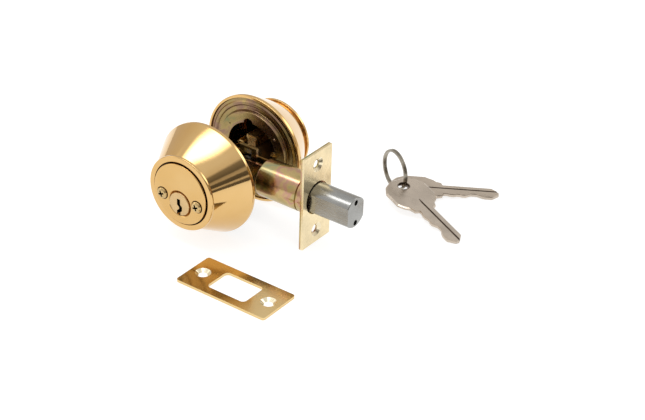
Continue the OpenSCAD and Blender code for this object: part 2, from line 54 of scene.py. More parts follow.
# A housing's own frame has x across, y up and z out of the door; the latch's has z along the bolt.
# A piece that is drawn in place has no turn at all.
INTERIOR = Matrix.Rotation(math.radians(90), 4, "X")
EXTERIOR = Matrix.Rotation(math.pi, 4, "Z") @ INTERIOR
ALONG_X = Matrix(((0, 0, 1, 0), (1, 0, 0, 0), (0, 1, 0, 0), (0, 0, 0, 1)))
IN_PLACE = Matrix.Identity(4)
SIDES = {"interior": INTERIOR, "exterior": EXTERIOR}
BOTH = (-1, 1)


# ---- Sizes, in millimetres, worked out from the CAD frame ----

def frame_mm(node):
    """A CAD node's lowest and highest corners."""
    low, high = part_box(node)
    return low / MM, high / MM


def driving_sizes():
    """The sizes that the shapes are worked out from; a housing's z is the distance from the door's middle."""
    collar_low, collar_high = frame_mm("exterior_collar")
    body_low, body_high = frame_mm("exterior_cylinder_body")
    plug_low, plug_high = frame_mm("exterior_plug")
    plate_low, plate_high = frame_mm("latch_faceplate")
    tube_low, tube_high = frame_mm("latch_tube")
    bolt_low, bolt_high = frame_mm("bolt")
    screw_low, screw_high = frame_mm("mounting_screws")
    strike_low, strike_high = frame_mm("strike_plate")
    screw_head_r = 3.4
    flange_depth = 4
    tube_step = 0.8
    return {
        "rim_r": collar_high.x,
        "rim_z": collar_low.y,
        "lip_z": collar_high.y,
        "flange_z": collar_high.y - flange_depth,
        "face_z": body_high.y,
        "body_z": body_low.y,
        "plug_z": plug_high.y,
        "plug_rear_z": plug_low.y,
        "plug_y": (plug_low.z + plug_high.z) / 2,
        "plug_r": (plug_high.z - plug_low.z) / 2,
        "screw_x": (screw_high.x - screw_low.x) / 2 - screw_head_r,
        "screw_y": (screw_high.z + screw_low.z) / 2,
        "screw_top": -screw_low.y,
        "screw_tip": screw_high.y,
        "tube_r": tube_high.z,
        "tube_x": tube_low.x,
        "tube_end": tube_high.x,
        "nose_x": tube_high.x + tube_step,
        "nose_end": frame_mm("latch_nose")[1].x,
        "backing_x": frame_mm("latch_backing_plate")[0].x,
        "plate_x": plate_low.x,
        "edge_x": plate_high.x,
        "plate_w": plate_high.y - plate_low.y,
        "plate_h": plate_high.z - plate_low.z,
        "bolt_r": bolt_high.z,
        "bolt_t": bolt_high.y - bolt_low.y,
        "bolt_x": bolt_low.x,
        "bolt_end": bolt_high.x,
        "floor": -collar_high.x,
        "strike_low": strike_low,
        "strike_high": strike_high,
    }


S = driving_sizes()

# The five pins stand in a row behind the face, and a chamber is cut for each.
FIRST_PIN = 5.7
PIN_PITCH = 3.8
PIN_Z = [S["face_z"] - FIRST_PIN - PIN_PITCH * i for i in range(5)]

# The keyway's outline, seen from in front of the housing, with the plug's axis at its origin.
KEYWAY = [
    (-1.4, 3.1), (-1.4, -0.5), (0, -1.8), (0, -3.0), (-1.5, -4.3), (-1.5, -8),
    (1.0, -8), (1.0, -4.8), (2.1, -3.7), (2.1, -1.2), (0.8, -0.1), (0.8, 3.1),
]

# The key's outline runs anticlockwise from the bow's far corner, with the hole at the origin and the tip
# along x; the edges round the bow have the wider bevel.
KEY_REACH = 57.0
KEY_HALF_T = 1.05
KEY_OUTLINE = [
    (-7.4, -4.6), (-3.4, -10.4), (2, -13.5), (14, -13.5), (18, -11.2), (20.4, -8.3), (23.4, -7.3),
    (24.2, -4.8), (26.6, -4.8), (27.8, -5.4), (30.4, -5.4), (32, -4.7), (33.8, -4.7), (35.2, -5.2),
    (37.2, -5.2), (40.4, -3.2), (43.8, -3.2), (46.6, -4.8), (48.6, -5.4), (KEY_REACH - 4, -5.4),
    (KEY_REACH, -1.6), (KEY_REACH, 0.6), (KEY_REACH - 4, 4.4), (24.2, 4.4), (23.4, 6.9),
    (20.4, 7.9), (18, 10.9), (14, 13.3), (2, 13.3), (-3.4, 10), (-7.4, 4.2),
]
KEY_BOW_EDGES = (0, 1, 2, 3, 4, 26, 27, 28, 29, 30)


# ---- Materials ----

def new_material(name, color, roughness, metallic=1.0, coat=0.0):
    """A metal with its uniform numbers set on the shader's own sockets."""
    material = bpy.data.materials.new(name)
    material.use_nodes = True
    shader = material.node_tree.nodes["Principled BSDF"]
    shader.inputs["Base Color"].default_value = (*color, 1)
    shader.inputs["Metallic"].default_value = metallic
    shader.inputs["Roughness"].default_value = roughness
    shader.inputs["Coat Weight"].default_value = coat
    shader.inputs["Coat Roughness"].default_value = 0.05
    return material, shader


def darker(color, *amounts):
    """A colour with its channels scaled by the amounts, or all by the one given."""
    return tuple(c * k for c, k in zip(color, amounts * 3))


def add_noise(material, scale, detail=4.0, rough=0.55, stretch=(1, 1, 1)):
    """A noise texture over the object's own coordinates; stretch makes it long along an axis."""
    tree = material.node_tree
    place = tree.nodes.new("ShaderNodeTexCoord")
    mapping = tree.nodes.new("ShaderNodeMapping")
    mapping.inputs["Scale"].default_value = stretch
    texture = tree.nodes.new("ShaderNodeTexNoise")
    texture.inputs["Scale"].default_value = scale
    texture.inputs["Detail"].default_value = detail
    texture.inputs["Roughness"].default_value = rough
    tree.links.new(place.outputs["Object"], mapping.inputs["Vector"])
    tree.links.new(mapping.outputs["Vector"], texture.inputs["Vector"])
    return texture


def map_range(tree, value, start, end, low=0.0, high=1.0):
    """A node that turns a number between start and end into one between low and high."""
    node = tree.nodes.new("ShaderNodeMapRange")
    node.inputs["From Min"].default_value = start
    node.inputs["From Max"].default_value = end
    node.inputs["To Min"].default_value = low
    node.inputs["To Max"].default_value = high
    tree.links.new(value, node.inputs["Value"])
    return node


def color_ramp(tree, value, stops):
    """A colour ramp along a number, from (place, colour) stops."""
    ramp = tree.nodes.new("ShaderNodeValToRGB")
    points = ramp.color_ramp.elements
    while len(points) < len(stops):
        points.new(0.5)
    for point, (place, color) in zip(points, stops):
        point.position = place
        point.color = (*color, 1)
    tree.links.new(value, ramp.inputs["Fac"])
    return ramp.outputs["Color"]


def vary_roughness(material, shader, texture, low, high):
    """Runs the noise into the roughness."""
    tree = material.node_tree
    spread = map_range(tree, texture.outputs["Fac"], 0.3, 0.7, low, high)
    tree.links.new(spread.outputs["Result"], shader.inputs["Roughness"])


def vary_color(material, shader, texture, stops):
    """Runs the noise through a ramp of (place, colour) stops into the base colour."""
    tree = material.node_tree
    tree.links.new(color_ramp(tree, texture.outputs["Fac"], stops), shader.inputs["Base Color"])


def add_bump(material, shader, texture, strength, distance):
    """Runs the noise into a bump of a depth given in metres."""
    bump = material.node_tree.nodes.new("ShaderNodeBump")
    bump.inputs["Strength"].default_value = strength
    bump.inputs["Distance"].default_value = distance
    material.node_tree.links.new(texture.outputs["Fac"], bump.inputs["Height"])
    material.node_tree.links.new(bump.outputs["Normal"], shader.inputs["Normal"])


def lacquered_brass(name, color, rough_low, rough_high):
    """Polished brass under lacquer: a faint change of tone, wiping haze and a very fine ripple."""
    material, shader = new_material(name, color, rough_low, coat=0.35)
    stops = [(0.35, darker(color, 0.95, 0.9, 0.78)), (0.65, color)]
    vary_color(material, shader, add_noise(material, 35, 3), stops)
    vary_roughness(material, shader, add_noise(material, 120, 6, 0.65), rough_low, rough_high)
    add_bump(material, shader, add_noise(material, 900, 2), 0.03, 0.0002)
    return material


def brushed_metal(name, color, rough_low, rough_high, grain, depth=0.12):
    """Metal with fine grinding lines along the axis in which the grain is least."""
    material, shader = new_material(name, color, rough_low)
    lines = add_noise(material, 1, 5, 0.7, grain)
    stops = [(0.3, darker(color, 0.82)), (0.62, color)]
    vary_color(material, shader, add_noise(material, 90, 5, 0.6), stops)
    vary_roughness(material, shader, lines, rough_low, rough_high)
    add_bump(material, shader, lines, depth, 0.00008)
    return material


def chromated_zinc(name, stops, rough_low, rough_high):
    """Yellow chromate over zinc plate: the thin film drifts between straw, rose, olive and blue green."""
    material, shader = new_material(name, stops[0][1], rough_low)
    drift = add_noise(material, 48, 3, 0.5)
    drift.inputs["Distortion"].default_value = 0.8
    vary_color(material, shader, drift, stops)
    vary_roughness(material, shader, add_noise(material, 260, 6, 0.7), rough_low, rough_high)
    add_bump(material, shader, add_noise(material, 1500, 3), 0.08, 0.0001)
    return material


def blotched_metal(name, color, roughness):
    """Dull metal with scattered darker blotches."""
    material, shader = new_material(name, color, roughness)
    blotches = add_noise(material, 160, 6, 0.65)
    vary_color(material, shader, blotches, [(0.35, darker(color, 0.6)), (0.6, color)])
    vary_roughness(material, shader, blotches, roughness + 0.1, roughness - 0.05)
    add_bump(material, shader, add_noise(material, 1800, 3), 0.12, 0.00008)
    return material


BRIGHT_FILM = [
    (0.30, (0.27, 0.31, 0.15)), (0.40, (0.42, 0.33, 0.14)), (0.50, (0.54, 0.4, 0.18)),
    (0.58, (0.5, 0.28, 0.21)), (0.64, (0.5, 0.37, 0.16)), (0.78, (0.3, 0.34, 0.2)),
]
# A darkened copy of the chromate film, painted shade for the backplates, their pips and the bolt tail, which sit
# in shade.
PAINTED_SHADE_FILM = [
    (0.30, (0.17, 0.19, 0.09)), (0.40, (0.28, 0.21, 0.085)), (0.50, (0.33, 0.24, 0.1)),
    (0.59, (0.26, 0.155, 0.11)), (0.66, (0.3, 0.215, 0.09)), (0.78, (0.17, 0.19, 0.11)),
]

# Each finish has its maker, its colour or film, and its roughness; a brushed one has its grain too.
FINISHES = {
    "polished_brass": (lacquered_brass, (0.72, 0.475, 0.2), 0.045, 0.1),
    "face_brass": (lacquered_brass, (0.69, 0.45, 0.18), 0.13, 0.2),
    "strike_brass": (lacquered_brass, (0.78, 0.58, 0.28), 0.12, 0.2),
    "cut_brass": (brushed_metal, (0.95, 0.84, 0.6), 0.14, 0.24, (200, 200, 200)),
    # Near-black brass, painted shade for the barrel and plug caps deep inside the housing.
    "aged_brass": (blotched_metal, (0.16, 0.11, 0.055), 0.4),
    # Dark nickel, painted shade in the keys' holes and grooves.
    "milled_nickel": (blotched_metal, (0.22, 0.175, 0.14), 0.36),
    "satin_brass": (brushed_metal, (0.9, 0.75, 0.47), 0.2, 0.3, (600, 600, 60)),
    "yellow_zinc": (chromated_zinc, BRIGHT_FILM, 0.14, 0.27),
    "dull_zinc": (chromated_zinc, PAINTED_SHADE_FILM, 0.18, 0.3),
    "plain_brass": (brushed_metal, (0.66, 0.46, 0.2), 0.22, 0.35, (300, 300, 300)),
    "screw_brass": (brushed_metal, (0.6, 0.43, 0.2), 0.16, 0.26, (200, 200, 200)),
    "plug_nickel": (brushed_metal, (0.66, 0.46, 0.23), 0.2, 0.32, (300, 900, 300)),
    "nickel_silver": (brushed_metal, (0.58, 0.5, 0.415), 0.24, 0.38, (160, 900, 900)),
    "bolt_steel": (brushed_metal, (0.37, 0.37, 0.355), 0.18, 0.32, (90, 3200, 3200), 0.08),
    "dark_steel": (blotched_metal, (0.16, 0.15, 0.14), 0.34),
    "ring_steel": (blotched_metal, (0.36, 0.325, 0.265), 0.2),
    "spring_steel": (blotched_metal, (0.42, 0.42, 0.43), 0.28),
    "shaded_recess": (blotched_metal, (0.045, 0.034, 0.022), 0.5),
}
MATERIALS = {name: maker(name, *numbers) for name, (maker, *numbers) in FINISHES.items()}


# ---- Outlines ----

def soften(points, radius, steps=3):
    """Rounds the corners of a closed outline, as far as its edges have room.

    A point may carry a radius of its own as its third number.
    """
    result = []
    count = len(points)
    for i in range(count):
        here = Vector(points[i][:2])
        before = Vector(points[i - 1][:2]) - here
        after = Vector(points[(i + 1) % count][:2]) - here
        wanted = points[i][2] if len(points[i]) > 2 else radius
        angle = before.angle(after, math.pi)
        if wanted <= 0 or angle > math.radians(172):
            result.append(tuple(here))
            continue
        setback = min(wanted / math.tan(angle / 2), 0.45 * before.length, 0.45 * after.length)
        start = here + before.normalized() * setback
        end = here + after.normalized() * setback
        for k in range(steps + 1):
            t = k / steps
            result.append(tuple(start.lerp(here, t).lerp(here.lerp(end, t), t)))
    return result


def rectangle(w, h):
    """The corners of a rectangle round the origin."""
    return [(-w / 2, -h / 2), (w / 2, -h / 2), (w / 2, h / 2), (-w / 2, h / 2)]


def arc(cx, cy, r, a, b, n):
    """Points round a centre from angle a to angle b, in degrees."""
    turn = [math.radians(a + (b - a) * i / n) for i in range(n + 1)]
    return [(cx + r * math.cos(t), cy + r * math.sin(t)) for t in turn]


def rounded_rectangle(w, h, r, cx=0.0, cy=0.0, steps=6):
    """A rectangle round (cx, cy) with arcs at its corners."""
    points = []
    for sx, sy, a in ((1, 1, 0), (-1, 1, 90), (-1, -1, 180), (1, -1, 270)):
        points += arc(cx + sx * (w / 2 - r), cy + sy * (h / 2 - r), r, a, a + 90, steps)
    return points


def inset(points, amounts):
    """Moves each edge of an outline, given anticlockwise, inwards by its own amount."""
    count = len(points)
    result = []
    for i in range(count):
        here = Vector(points[i])
        before = (here - Vector(points[i - 1])).normalized()
        after = (Vector(points[(i + 1) % count]) - here).normalized()
        n0 = Vector((-before.y, before.x)) * amounts[i - 1]
        n1 = Vector((-after.y, after.x)) * amounts[i]
        turn = before.x * after.y - before.y * after.x
        if abs(turn) < 0.05:
            shift = (n0 + n1) / 2
        else:
            along = ((n1 - n0).x * after.y - (n1 - n0).y * after.x) / turn
            shift = n0 + before * along
        result.append(tuple(here + shift))
    return result


# ---- Solids, each a bmesh in millimetres ----

def lathe(profile, segments=SEGMENTS):
    """A closed profile of (radius, height) revolved about z."""
    work = bmesh.new()
    rings = []
    for r, z in profile:
        if r < 1e-6:
            rings.append([work.verts.new((0, 0, z))])
            continue
        turn = [2 * math.pi * k / segments for k in range(segments)]
        rings.append([work.verts.new((r * math.cos(t), r * math.sin(t), z)) for t in turn])
    for lower, upper in zip(rings, rings[1:] + rings[:1]):
        if len(lower) == 1 and len(upper) == 1:
            continue
        for k in range(segments):
            n = (k + 1) % segments
            corners = [(lower, k), (lower, n), (upper, n), (upper, k)]
            corners = [ring[i % len(ring)] for ring, i in corners]
            work.faces.new(list(dict.fromkeys(corners)))
    return work


def rod(r, low, high, segments=64):
    """A solid cylinder about z, to cut a hole with."""
    return lathe([(0, low), (r, low), (r, high), (0, high)], segments)


def prism(outline, low, high):
    """A block with that outline between two heights."""
    work = bmesh.new()
    base = [work.verts.new((x, y, low)) for x, y in outline]
    bottom = work.faces.new(base)
    made = bmesh.ops.extrude_face_region(work, geom=[bottom])
    lifted = [v for v in made["geom"] if isinstance(v, bmesh.types.BMVert)]
    bmesh.ops.translate(work, vec=(0, 0, high - low), verts=lifted)
    return work


def skin(rings):
    """A closed shape through rings of equally many points, with a face across each end."""
    work = bmesh.new()
    rings = [[work.verts.new(point) for point in ring] for ring in rings]
    work.faces.new(rings[0])
    work.faces.new(rings[-1])
    for lower, upper in zip(rings, rings[1:]):
        for k in range(len(lower)):
            n = (k + 1) % len(lower)
            work.faces.new((lower[k], lower[n], upper[n], upper[k]))
    return work


def loft(layers):
    """A closed shape through outlines of equally many points, each at its own height."""
    return skin([[(x, y, z) for x, y in outline] for outline, z in layers])


def countersink(x, y, low, high, r, wide_r):
    """A cutter for a screw hole that opens from r at the low side to wide_r at the high side."""
    past = 1.0
    profile = [
        (0, low - past), (r, low - past), (r, low), (wide_r, high), (wide_r + past, high + past),
        (0, high + past),
    ]
    return moved(lathe(profile, 64), x, y)


def moved(work, x=0.0, y=0.0, z=0.0, turn=0.0):
    """Turns a shape about z by degrees, then shifts it."""
    matrix = Matrix.Translation((x, y, z)) @ Matrix.Rotation(math.radians(turn), 4, "Z")
    bmesh.ops.transform(work, matrix=matrix, verts=work.verts)
    return work


# ---- Pieces ----

def finish_mesh(mesh, sharp_angle=32):
    """Smooth shading that breaks at edges sharper than the angle."""
    mesh.shade_smooth()
    mesh.set_sharp_from_angle(angle=math.radians(sharp_angle))


def new_object(name, work, matrix, material, sharp_angle=32):
    """Turns a shape into an object in the row frame."""
    bmesh.ops.transform(work, matrix=matrix, verts=work.verts)
    bmesh.ops.scale(work, vec=(MM, MM, MM), verts=work.verts)
    bmesh.ops.recalc_face_normals(work, faces=work.faces)
    mesh = bpy.data.meshes.new(name)
    work.to_mesh(mesh)
    work.free()
    finish_mesh(mesh, sharp_angle)
    made = bpy.data.objects.new(name, mesh)
    bpy.context.scene.collection.objects.link(made)
    if material:
        mesh.materials.append(MATERIALS[material])
    return made


def cut(made, cutters, recess=None, sharp_angle=32):
    """Takes (shape, matrix) cutters out of a piece; the recess material colours the cut."""
    for number, (work, matrix) in enumerate(cutters):
        tool = new_object(f"tool_{number}", work, matrix, recess)
        step = made.modifiers.new("step", "BOOLEAN")
        step.operation = "DIFFERENCE"
        step.solver = "EXACT"
        step.material_mode = "TRANSFER" if recess else "INDEX"
        step.object = tool
        view = bpy.context.evaluated_depsgraph_get()
        mesh = bpy.data.meshes.new_from_object(made.evaluated_get(view))
        made.modifiers.remove(step)
        made.data = mesh
        bpy.data.objects.remove(tool)
    finish_mesh(made.data, sharp_angle)


def round_edges(made, width, angle=38, segments=2):
    """Gives the edges sharper than the angle a small real round that catches the light."""
    bevel = made.modifiers.new("edge_round", "BEVEL")
    bevel.width = width * MM
    bevel.segments = segments
    bevel.limit_method = "ANGLE"
    bevel.angle_limit = math.radians(angle)
    bevel.harden_normals = True
    bevel.use_clamp_overlap = True


def stand_for(made, body, slot, *nodes):
    """Lets a piece ride on a body in place of CAD nodes; the slot argument is not used."""
    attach(made, body)
    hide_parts(*nodes)


# ---- Housings ----

def make_collar(side, matrix):
    """The tapered cover, hollow behind, with a groove under its rolled lip."""
    rim_r, rim_z, lip_z = S["rim_r"], S["rim_z"], S["lip_z"]
    neck_r, lip_r, mouth_r = 21.6, 22.3, 19.0
    lip_h, mouth_h = 2.3, 2.6
    neck_z = lip_z - lip_h
    groove_r = neck_r - 0.35
    profile = soften([
        (rim_r - 1.5, rim_z, 0.25), (rim_r, rim_z, 1.05), (rim_r, rim_z + 2.2, 1.3), (neck_r, neck_z, 0.12),
        (groove_r, neck_z + 0.08, 0.05), (groove_r, neck_z + 0.5, 0.05), (lip_r, neck_z + 0.55, 0.3),
        (lip_r, lip_z, 0.75), (mouth_r, lip_z, 0.25), (mouth_r, lip_z - mouth_h, 0.05),
        (mouth_r + 1.4, lip_z - mouth_h, 0.05), (rim_r - 1.6, rim_z + 2.6, 0.6),
    ], 0.2, 5)
    made = new_object(f"{side}_collar_shell", lathe(profile, 256), matrix, "polished_brass")
    stand_for(made, "case", "polished_brass", f"{side}_collar")


def make_face(side, matrix):
    """The cylinder's face, with a turned recess round the plug and, on the inside, the screws' sinks."""
    face_z, face_r = S["face_z"], 18.2
    back_z = S["flange_z"] + 0.6
    past_back = S["flange_z"] - 1
    past_face = face_z + 1
    disc = lathe(soften([
        (0, back_z, 0), (face_r, back_z, 0.05), (face_r, face_z, 0.45), (0, face_z, 0),
    ], 0.1, 4))
    made = new_object(f"{side}_face", disc, matrix, "face_brass")
    seat_r = S["plug_r"] + 0.08
    recess = lathe(soften([
        (0, past_back, 0), (seat_r, past_back, 0), (seat_r, face_z - 1.3), (7.35, face_z - 1.1),
        (7.6, face_z - 0.35), (8.1, face_z + 0.01), (8.1, past_face, 0), (0, past_face, 0),
    ], 0.06))
    cut(made, [(moved(recess, y=S["plug_y"]), matrix)])
    if side == "interior":
        shank_r, head_r, sink = 2.25, 3.8, 0.5
        cutters = []
        for x in (-S["screw_x"], S["screw_x"]):
            hole = lathe([
                (0, past_back), (shank_r, past_back), (shank_r, face_z - sink), (head_r, face_z - sink),
                (head_r, past_face), (0, past_face),
            ], 64)
            cutters.append((moved(hole, x, S["screw_y"]), matrix))
        cut(made, cutters, "shaded_recess")
    round_edges(made, 0.12, 60)
    return made


def make_flange(side, matrix):
    """The flange that the collar's lip holds, seen only as the dark floor of the ring gap."""
    z = S["flange_z"]
    thick, inner_r, outer_r, bore_r = 1.3, 10, 20, 9.6
    profile = soften([(inner_r, z), (outer_r, z), (outer_r, z + thick), (inner_r, z + thick)], 0.1)
    made = new_object(f"{side}_face_flange", lathe(profile), matrix, "shaded_recess")
    cut(made, [(moved(rod(bore_r, 0, THROUGH), y=S["plug_y"]), matrix)])
    return made


def pin_holes(matrix, r, length, below_axis):
    """Cutters for the five pins' holes, standing up from that far below the plug's axis."""
    cutters = []
    for z in PIN_Z:
        upright = Matrix.Translation((0, S["plug_y"] - below_axis, z))
        upright = upright @ Matrix.Rotation(math.radians(-90), 4, "X")
        cutters.append((rod(r, 0, length, 32), matrix @ upright))
    return cutters


def make_barrel(side, matrix):
    """The barrel behind the face and, standing on it, the pin tower with its chambers open to the top."""
    low, high = S["body_z"], S["flange_z"] + 0.65
    inner_r, outer_r, chamber_r = 6.42, 8.9, 1.45
    top, foot = 15.3, 7.6
    rail = top - 2.4
    lip = top - 0.85
    half = [(2.8, foot), (2.8, rail), (3.5, rail), (3.5, top), (2.1, top), (2.1, lip)]
    outline = half + [(-x, y) for x, y in reversed(half)]
    shell = soften([(inner_r, low), (outer_r, low), (outer_r, high), (inner_r, high)], 0.2)
    shell = moved(lathe(shell), y=S["plug_y"])
    # The barrel's near-black brass is painted shade.
    barrel = new_object(f"{side}_barrel", shell, matrix, "aged_brass")
    tower = moved(prism(outline, low, high), y=S["plug_y"])
    tower = new_object(f"{side}_pin_tower", tower, matrix, "plain_brass")
    for made in (barrel, tower):
        cut(made, pin_holes(matrix, chamber_r, 30, 0))
        round_edges(made, 0.15)
    return [barrel, tower]


def make_posts(matrix):
    """The two threaded posts that the mounting screws go into."""
    low, high = S["rim_z"] + 4, S["flange_z"] + 0.1
    inner_r, outer_r = 2.06, 3.4
    made = []
    for number, side in enumerate(BOTH):
        profile = soften([(inner_r, low), (outer_r, low), (outer_r, high), (inner_r, high)], 0.3)
        post = moved(lathe(profile, 64), side * S["screw_x"], S["screw_y"])
        made.append(new_object(f"exterior_post_{number}", post, matrix, "plain_brass"))
    return made


def make_cylinder_body(side, matrix):
    """The pieces that together show as one casting; only the outside one has posts."""
    pieces = [make_face(side, matrix), make_flange(side, matrix)]
    pieces += make_barrel(side, matrix)
    if side == "exterior":
        pieces += make_posts(matrix)
    for made in pieces:
        stand_for(made, "case", "polished_brass", f"{side}_cylinder_body")


def make_plug(side, matrix):
    """The plug with its crooked keyway, its pin holes and the pocket at its back."""
    front, rear = S["plug_z"], S["plug_rear_z"]
    pocket_r, pocket, pin_r = 4.6, 2.5, 1.44
    head_r = S["plug_r"]
    shank_r = head_r - 0.6
    head_z = front - 2.2
    body = lathe(soften([
        (pocket_r, rear, 0.1), (shank_r, rear, 0.2), (shank_r, head_z, 0.05), (head_r, head_z, 0.05),
        (head_r, front, 0.5), (0, front, 0), (0, rear + pocket, 0), (pocket_r, rear + pocket, 0.05),
    ], 0.1, 4), 128)
    made = new_object(f"{side}_plug_turned", moved(body, y=S["plug_y"]), matrix, "plug_nickel")
    cut(made, pin_holes(matrix, pin_r, 9, 0.8))
    keyway = moved(prism(KEYWAY, rear + 4, front + 1), y=S["plug_y"])
    cut(made, [(keyway, matrix)], "shaded_recess")
    round_edges(made, 0.12, 50)
    stand_for(made, f"{side}_plug_group", "nickel_silver", f"{side}_plug")


def make_backplate(side, matrix):
    """The pressed ring plate with its bead, stepped boss, notched hole and pips."""
    rim = S["rim_z"]
    flat, land = rim - 1.4, rim + 1
    outer = S["rim_r"] - 1.8
    inner, hole_r, past_plate = 15.5, 17.1, 40
    profile = soften([
        (inner, flat, 0), (23.5, flat, 0.5), (24.3, land, 0.4), (26.6, land, 0.7), (27.4, rim + 0.1, 0.5),
        (28.9, rim + 0.1, 0.5), (29.7, land - 0.1, 0.6), (outer, land, 0.2), (outer, land + 1, 0.2),
        (29.3, land + 0.9, 0.4), (28.4, rim + 1.1, 0.3), (27.9, rim + 1.1, 0.3), (27.1, land + 1, 0.4),
        (23.6, land + 1, 0.4), (22.8, flat + 1, 0.3), (inner, flat + 1, 0),
    ], 0.2, 4)
    # The plate takes the darkened film, which is painted shade.
    made = new_object(f"{side}_backplate_pressing", lathe(profile, 256), matrix, "dull_zinc")
    notch_r, notch_at, notch_turn = 3.3, 16.3, 81
    cutters = [(rod(hole_r, 0, past_plate, 128), matrix)]
    for half_turn in (0, 180):
        notch = moved(rod(notch_r, 0, past_plate, 48), notch_at)
        cutters.append((moved(notch, turn=notch_turn + half_turn), matrix))
    cut(made, cutters)
    round_edges(made, 0.15, 50)
    stand_for(made, "case", "yellow_zinc", f"{side}_backplate")
    pip_at, pip_turn = 20.2, 37
    for number, angle in enumerate((pip_turn, 180 - pip_turn, 180 + pip_turn, 360 - pip_turn)):
        pip = [(0, flat - 0.42, 0), (0.55, flat - 0.3), (0.95, flat + 0.3), (0, flat + 0.3, 0)]
        x = pip_at * math.cos(math.radians(angle))
        y = pip_at * math.sin(math.radians(angle))
        pip = moved(lathe(soften(pip, 0.3), 32), x, y)
        pip = new_object(f"{side}_pip_{number}", pip, matrix, "dull_zinc")
        stand_for(pip, "case", "yellow_zinc", f"{side}_backplate")


def cross_arm(top):
    """One wedge-shaped arm of a cross recess, wide at the top."""
    depth, length, width = 1.3, 4.6, 1.15
    return loft([
        (rectangle(length * 0.45, width * 0.6), top - depth), (rectangle(length, width), top + 0.5),
    ])


def make_screws():
    """Two pan-head screws with a tapered cross recess, reaching from the inside face into the posts."""
    top, tip = S["screw_top"], -S["screw_tip"]
    seat = S["face_z"] + 0.02
    shank_r, head_r = 1.95, 3.38
    cross_turn = 20
    for number, side in enumerate(BOTH):
        x, y = side * S["screw_x"], S["screw_y"]
        profile = soften([
            (0, tip, 0), (1.4, tip, 0.1), (shank_r, tip + 0.8, 0.2), (shank_r, seat - 0.01, 0),
            (head_r, seat, 0.2), (3.3, seat + 0.6, 0.3), (2.5, top - 0.25, 0.8), (1.2, top - 0.02, 0.5),
            (0, top, 0),
        ], 0.2, 4)
        screw = moved(lathe(profile, 64), x, y)
        made = new_object(f"mounting_screw_{number}", screw, INTERIOR, "screw_brass")
        turns = (cross_turn, cross_turn + 90)
        arms = [(moved(cross_arm(top), x, y, turn=turn), INTERIOR) for turn in turns]
        cut(made, arms, "shaded_recess")
        round_edges(made, 0.08, 40)
        stand_for(made, "case", "plain_brass", "mounting_screws")


# ---- Latch ----

def make_latch_tube():
    """The thin tube with its back edge curled in."""
    r, back, front = S["tube_r"], S["tube_x"], S["tube_end"]
    wall = 0.9
    curl_r = r - 1.4
    profile = soften([
        (curl_r, back, 0.3), (r, back, 1.3), (r, front, 0.15), (r - wall, front, 0.1),
        (r - wall, back + 1.1, 0.8), (curl_r, back + 0.9, 0.1),
    ], 0.1, 6)
    made = new_object("latch_tube_rolled", lathe(profile), ALONG_X, "yellow_zinc")
    stand_for(made, "case", "yellow_zinc", "latch_tube")


def make_latch_nose():
    """The collar in front of the tube, spigoted into it, with the line of the joint showing."""
    r, x, end = S["tube_r"], S["nose_x"], S["nose_end"]
    bore = S["bolt_r"] + 0.35
    neck_r, spigot_r = r - 0.7, r - 0.95
    joint = S["tube_end"]
    profile = soften([
        (bore, x - 4, 0.1), (spigot_r, x - 4, 0.1), (spigot_r, joint, 0), (neck_r, joint, 0.05),
        (neck_r, x, 0.05), (r, x, 0.25), (r, end, 0.1), (bore, end, 0.1),
    ], 0.1)
    made = new_object("latch_nose_turned", lathe(profile), ALONG_X, "yellow_zinc")
    stand_for(made, "case", "yellow_zinc", "latch_nose")


def make_edge_plates():
    """The faceplate with its countersunk holes and the backing plate behind it."""
    outline = rounded_rectangle(S["plate_w"], S["plate_h"], 0.35)
    bore_r, backing_bore_r = 9.8, 9.5
    screw_at, screw_r, sink_r = 20.65, 2.4, 4.3
    back, front = S["plate_x"], S["edge_x"]
    face = new_object("faceplate_blank", prism(outline, back, front), ALONG_X, "satin_brass")
    cut(face, [(rod(bore_r, 0, THROUGH, 128), ALONG_X)])
    sinks = [countersink(0, side * screw_at, back + 0.05, front, screw_r, sink_r) for side in BOTH]
    cut(face, [(sink, ALONG_X) for sink in sinks], "cut_brass")
    round_edges(face, 0.18)
    stand_for(face, "case", "satin_brass", "latch_faceplate")
    blank = prism(outline, S["backing_x"], back - 0.02)
    backing = new_object("backing_plate_blank", blank, ALONG_X, "yellow_zinc")
    holes = [rod(backing_bore_r, 0, THROUGH, 128)]
    holes += [moved(rod(screw_r, 0, THROUGH), y=side * screw_at) for side in BOTH]
    cut(backing, [(hole, ALONG_X) for hole in holes])
    round_edges(backing, 0.12)
    stand_for(backing, "case", "yellow_zinc", "latch_backing_plate")


def slab(w, h, cx, cy, low, high):
    """A block with corners as good as square."""
    return prism(rounded_rectangle(w, h, 0.01, cx, cy, 1), low, high)


def make_bolt():
    """The round bolt with two flats, two blind holes in its end, and a fork and slot for its tail."""
    r, thick, end, rear = S["bolt_r"], S["bolt_t"], S["bolt_end"], S["bolt_x"]
    profile = soften([(0, rear, 0), (r, rear, 0.2), (r, end, 0.8), (0, end, 0)], 0.2, 4)
    made = new_object("bolt_bar", lathe(profile), ALONG_X, "bolt_steel")
    waste_w, waste_h, past_end = 20, 60, 200
    pin_r, pin_depth, pin_at = 1.6, 14.4, 6.3
    fork_w, fork_end = 8.6, S["edge_x"] - 0.8
    tail_w, tail_h, tail_at, tail_end = 2.1, 5.6, 3.75, S["edge_x"] + 8.5
    cutters = []
    for side in BOTH:
        cutters.append(slab(waste_w, waste_h, side * (thick + waste_w) / 2, 0, 0, past_end))
        cutters.append(moved(rod(pin_r, end - pin_depth, end + 1, 48), y=side * pin_at))
    cutters.append(slab(fork_w, waste_h, 0, 0, 0, fork_end))
    cutters.append(slab(tail_w, tail_h, 0, tail_at, 0, tail_end))
    cut(made, [(cutter, ALONG_X) for cutter in cutters])
    round_edges(made, 0.35, 30, 3)
    stand_for(made, "bolt_group", "bolt_steel", "bolt")


# ---- Loose pieces ----

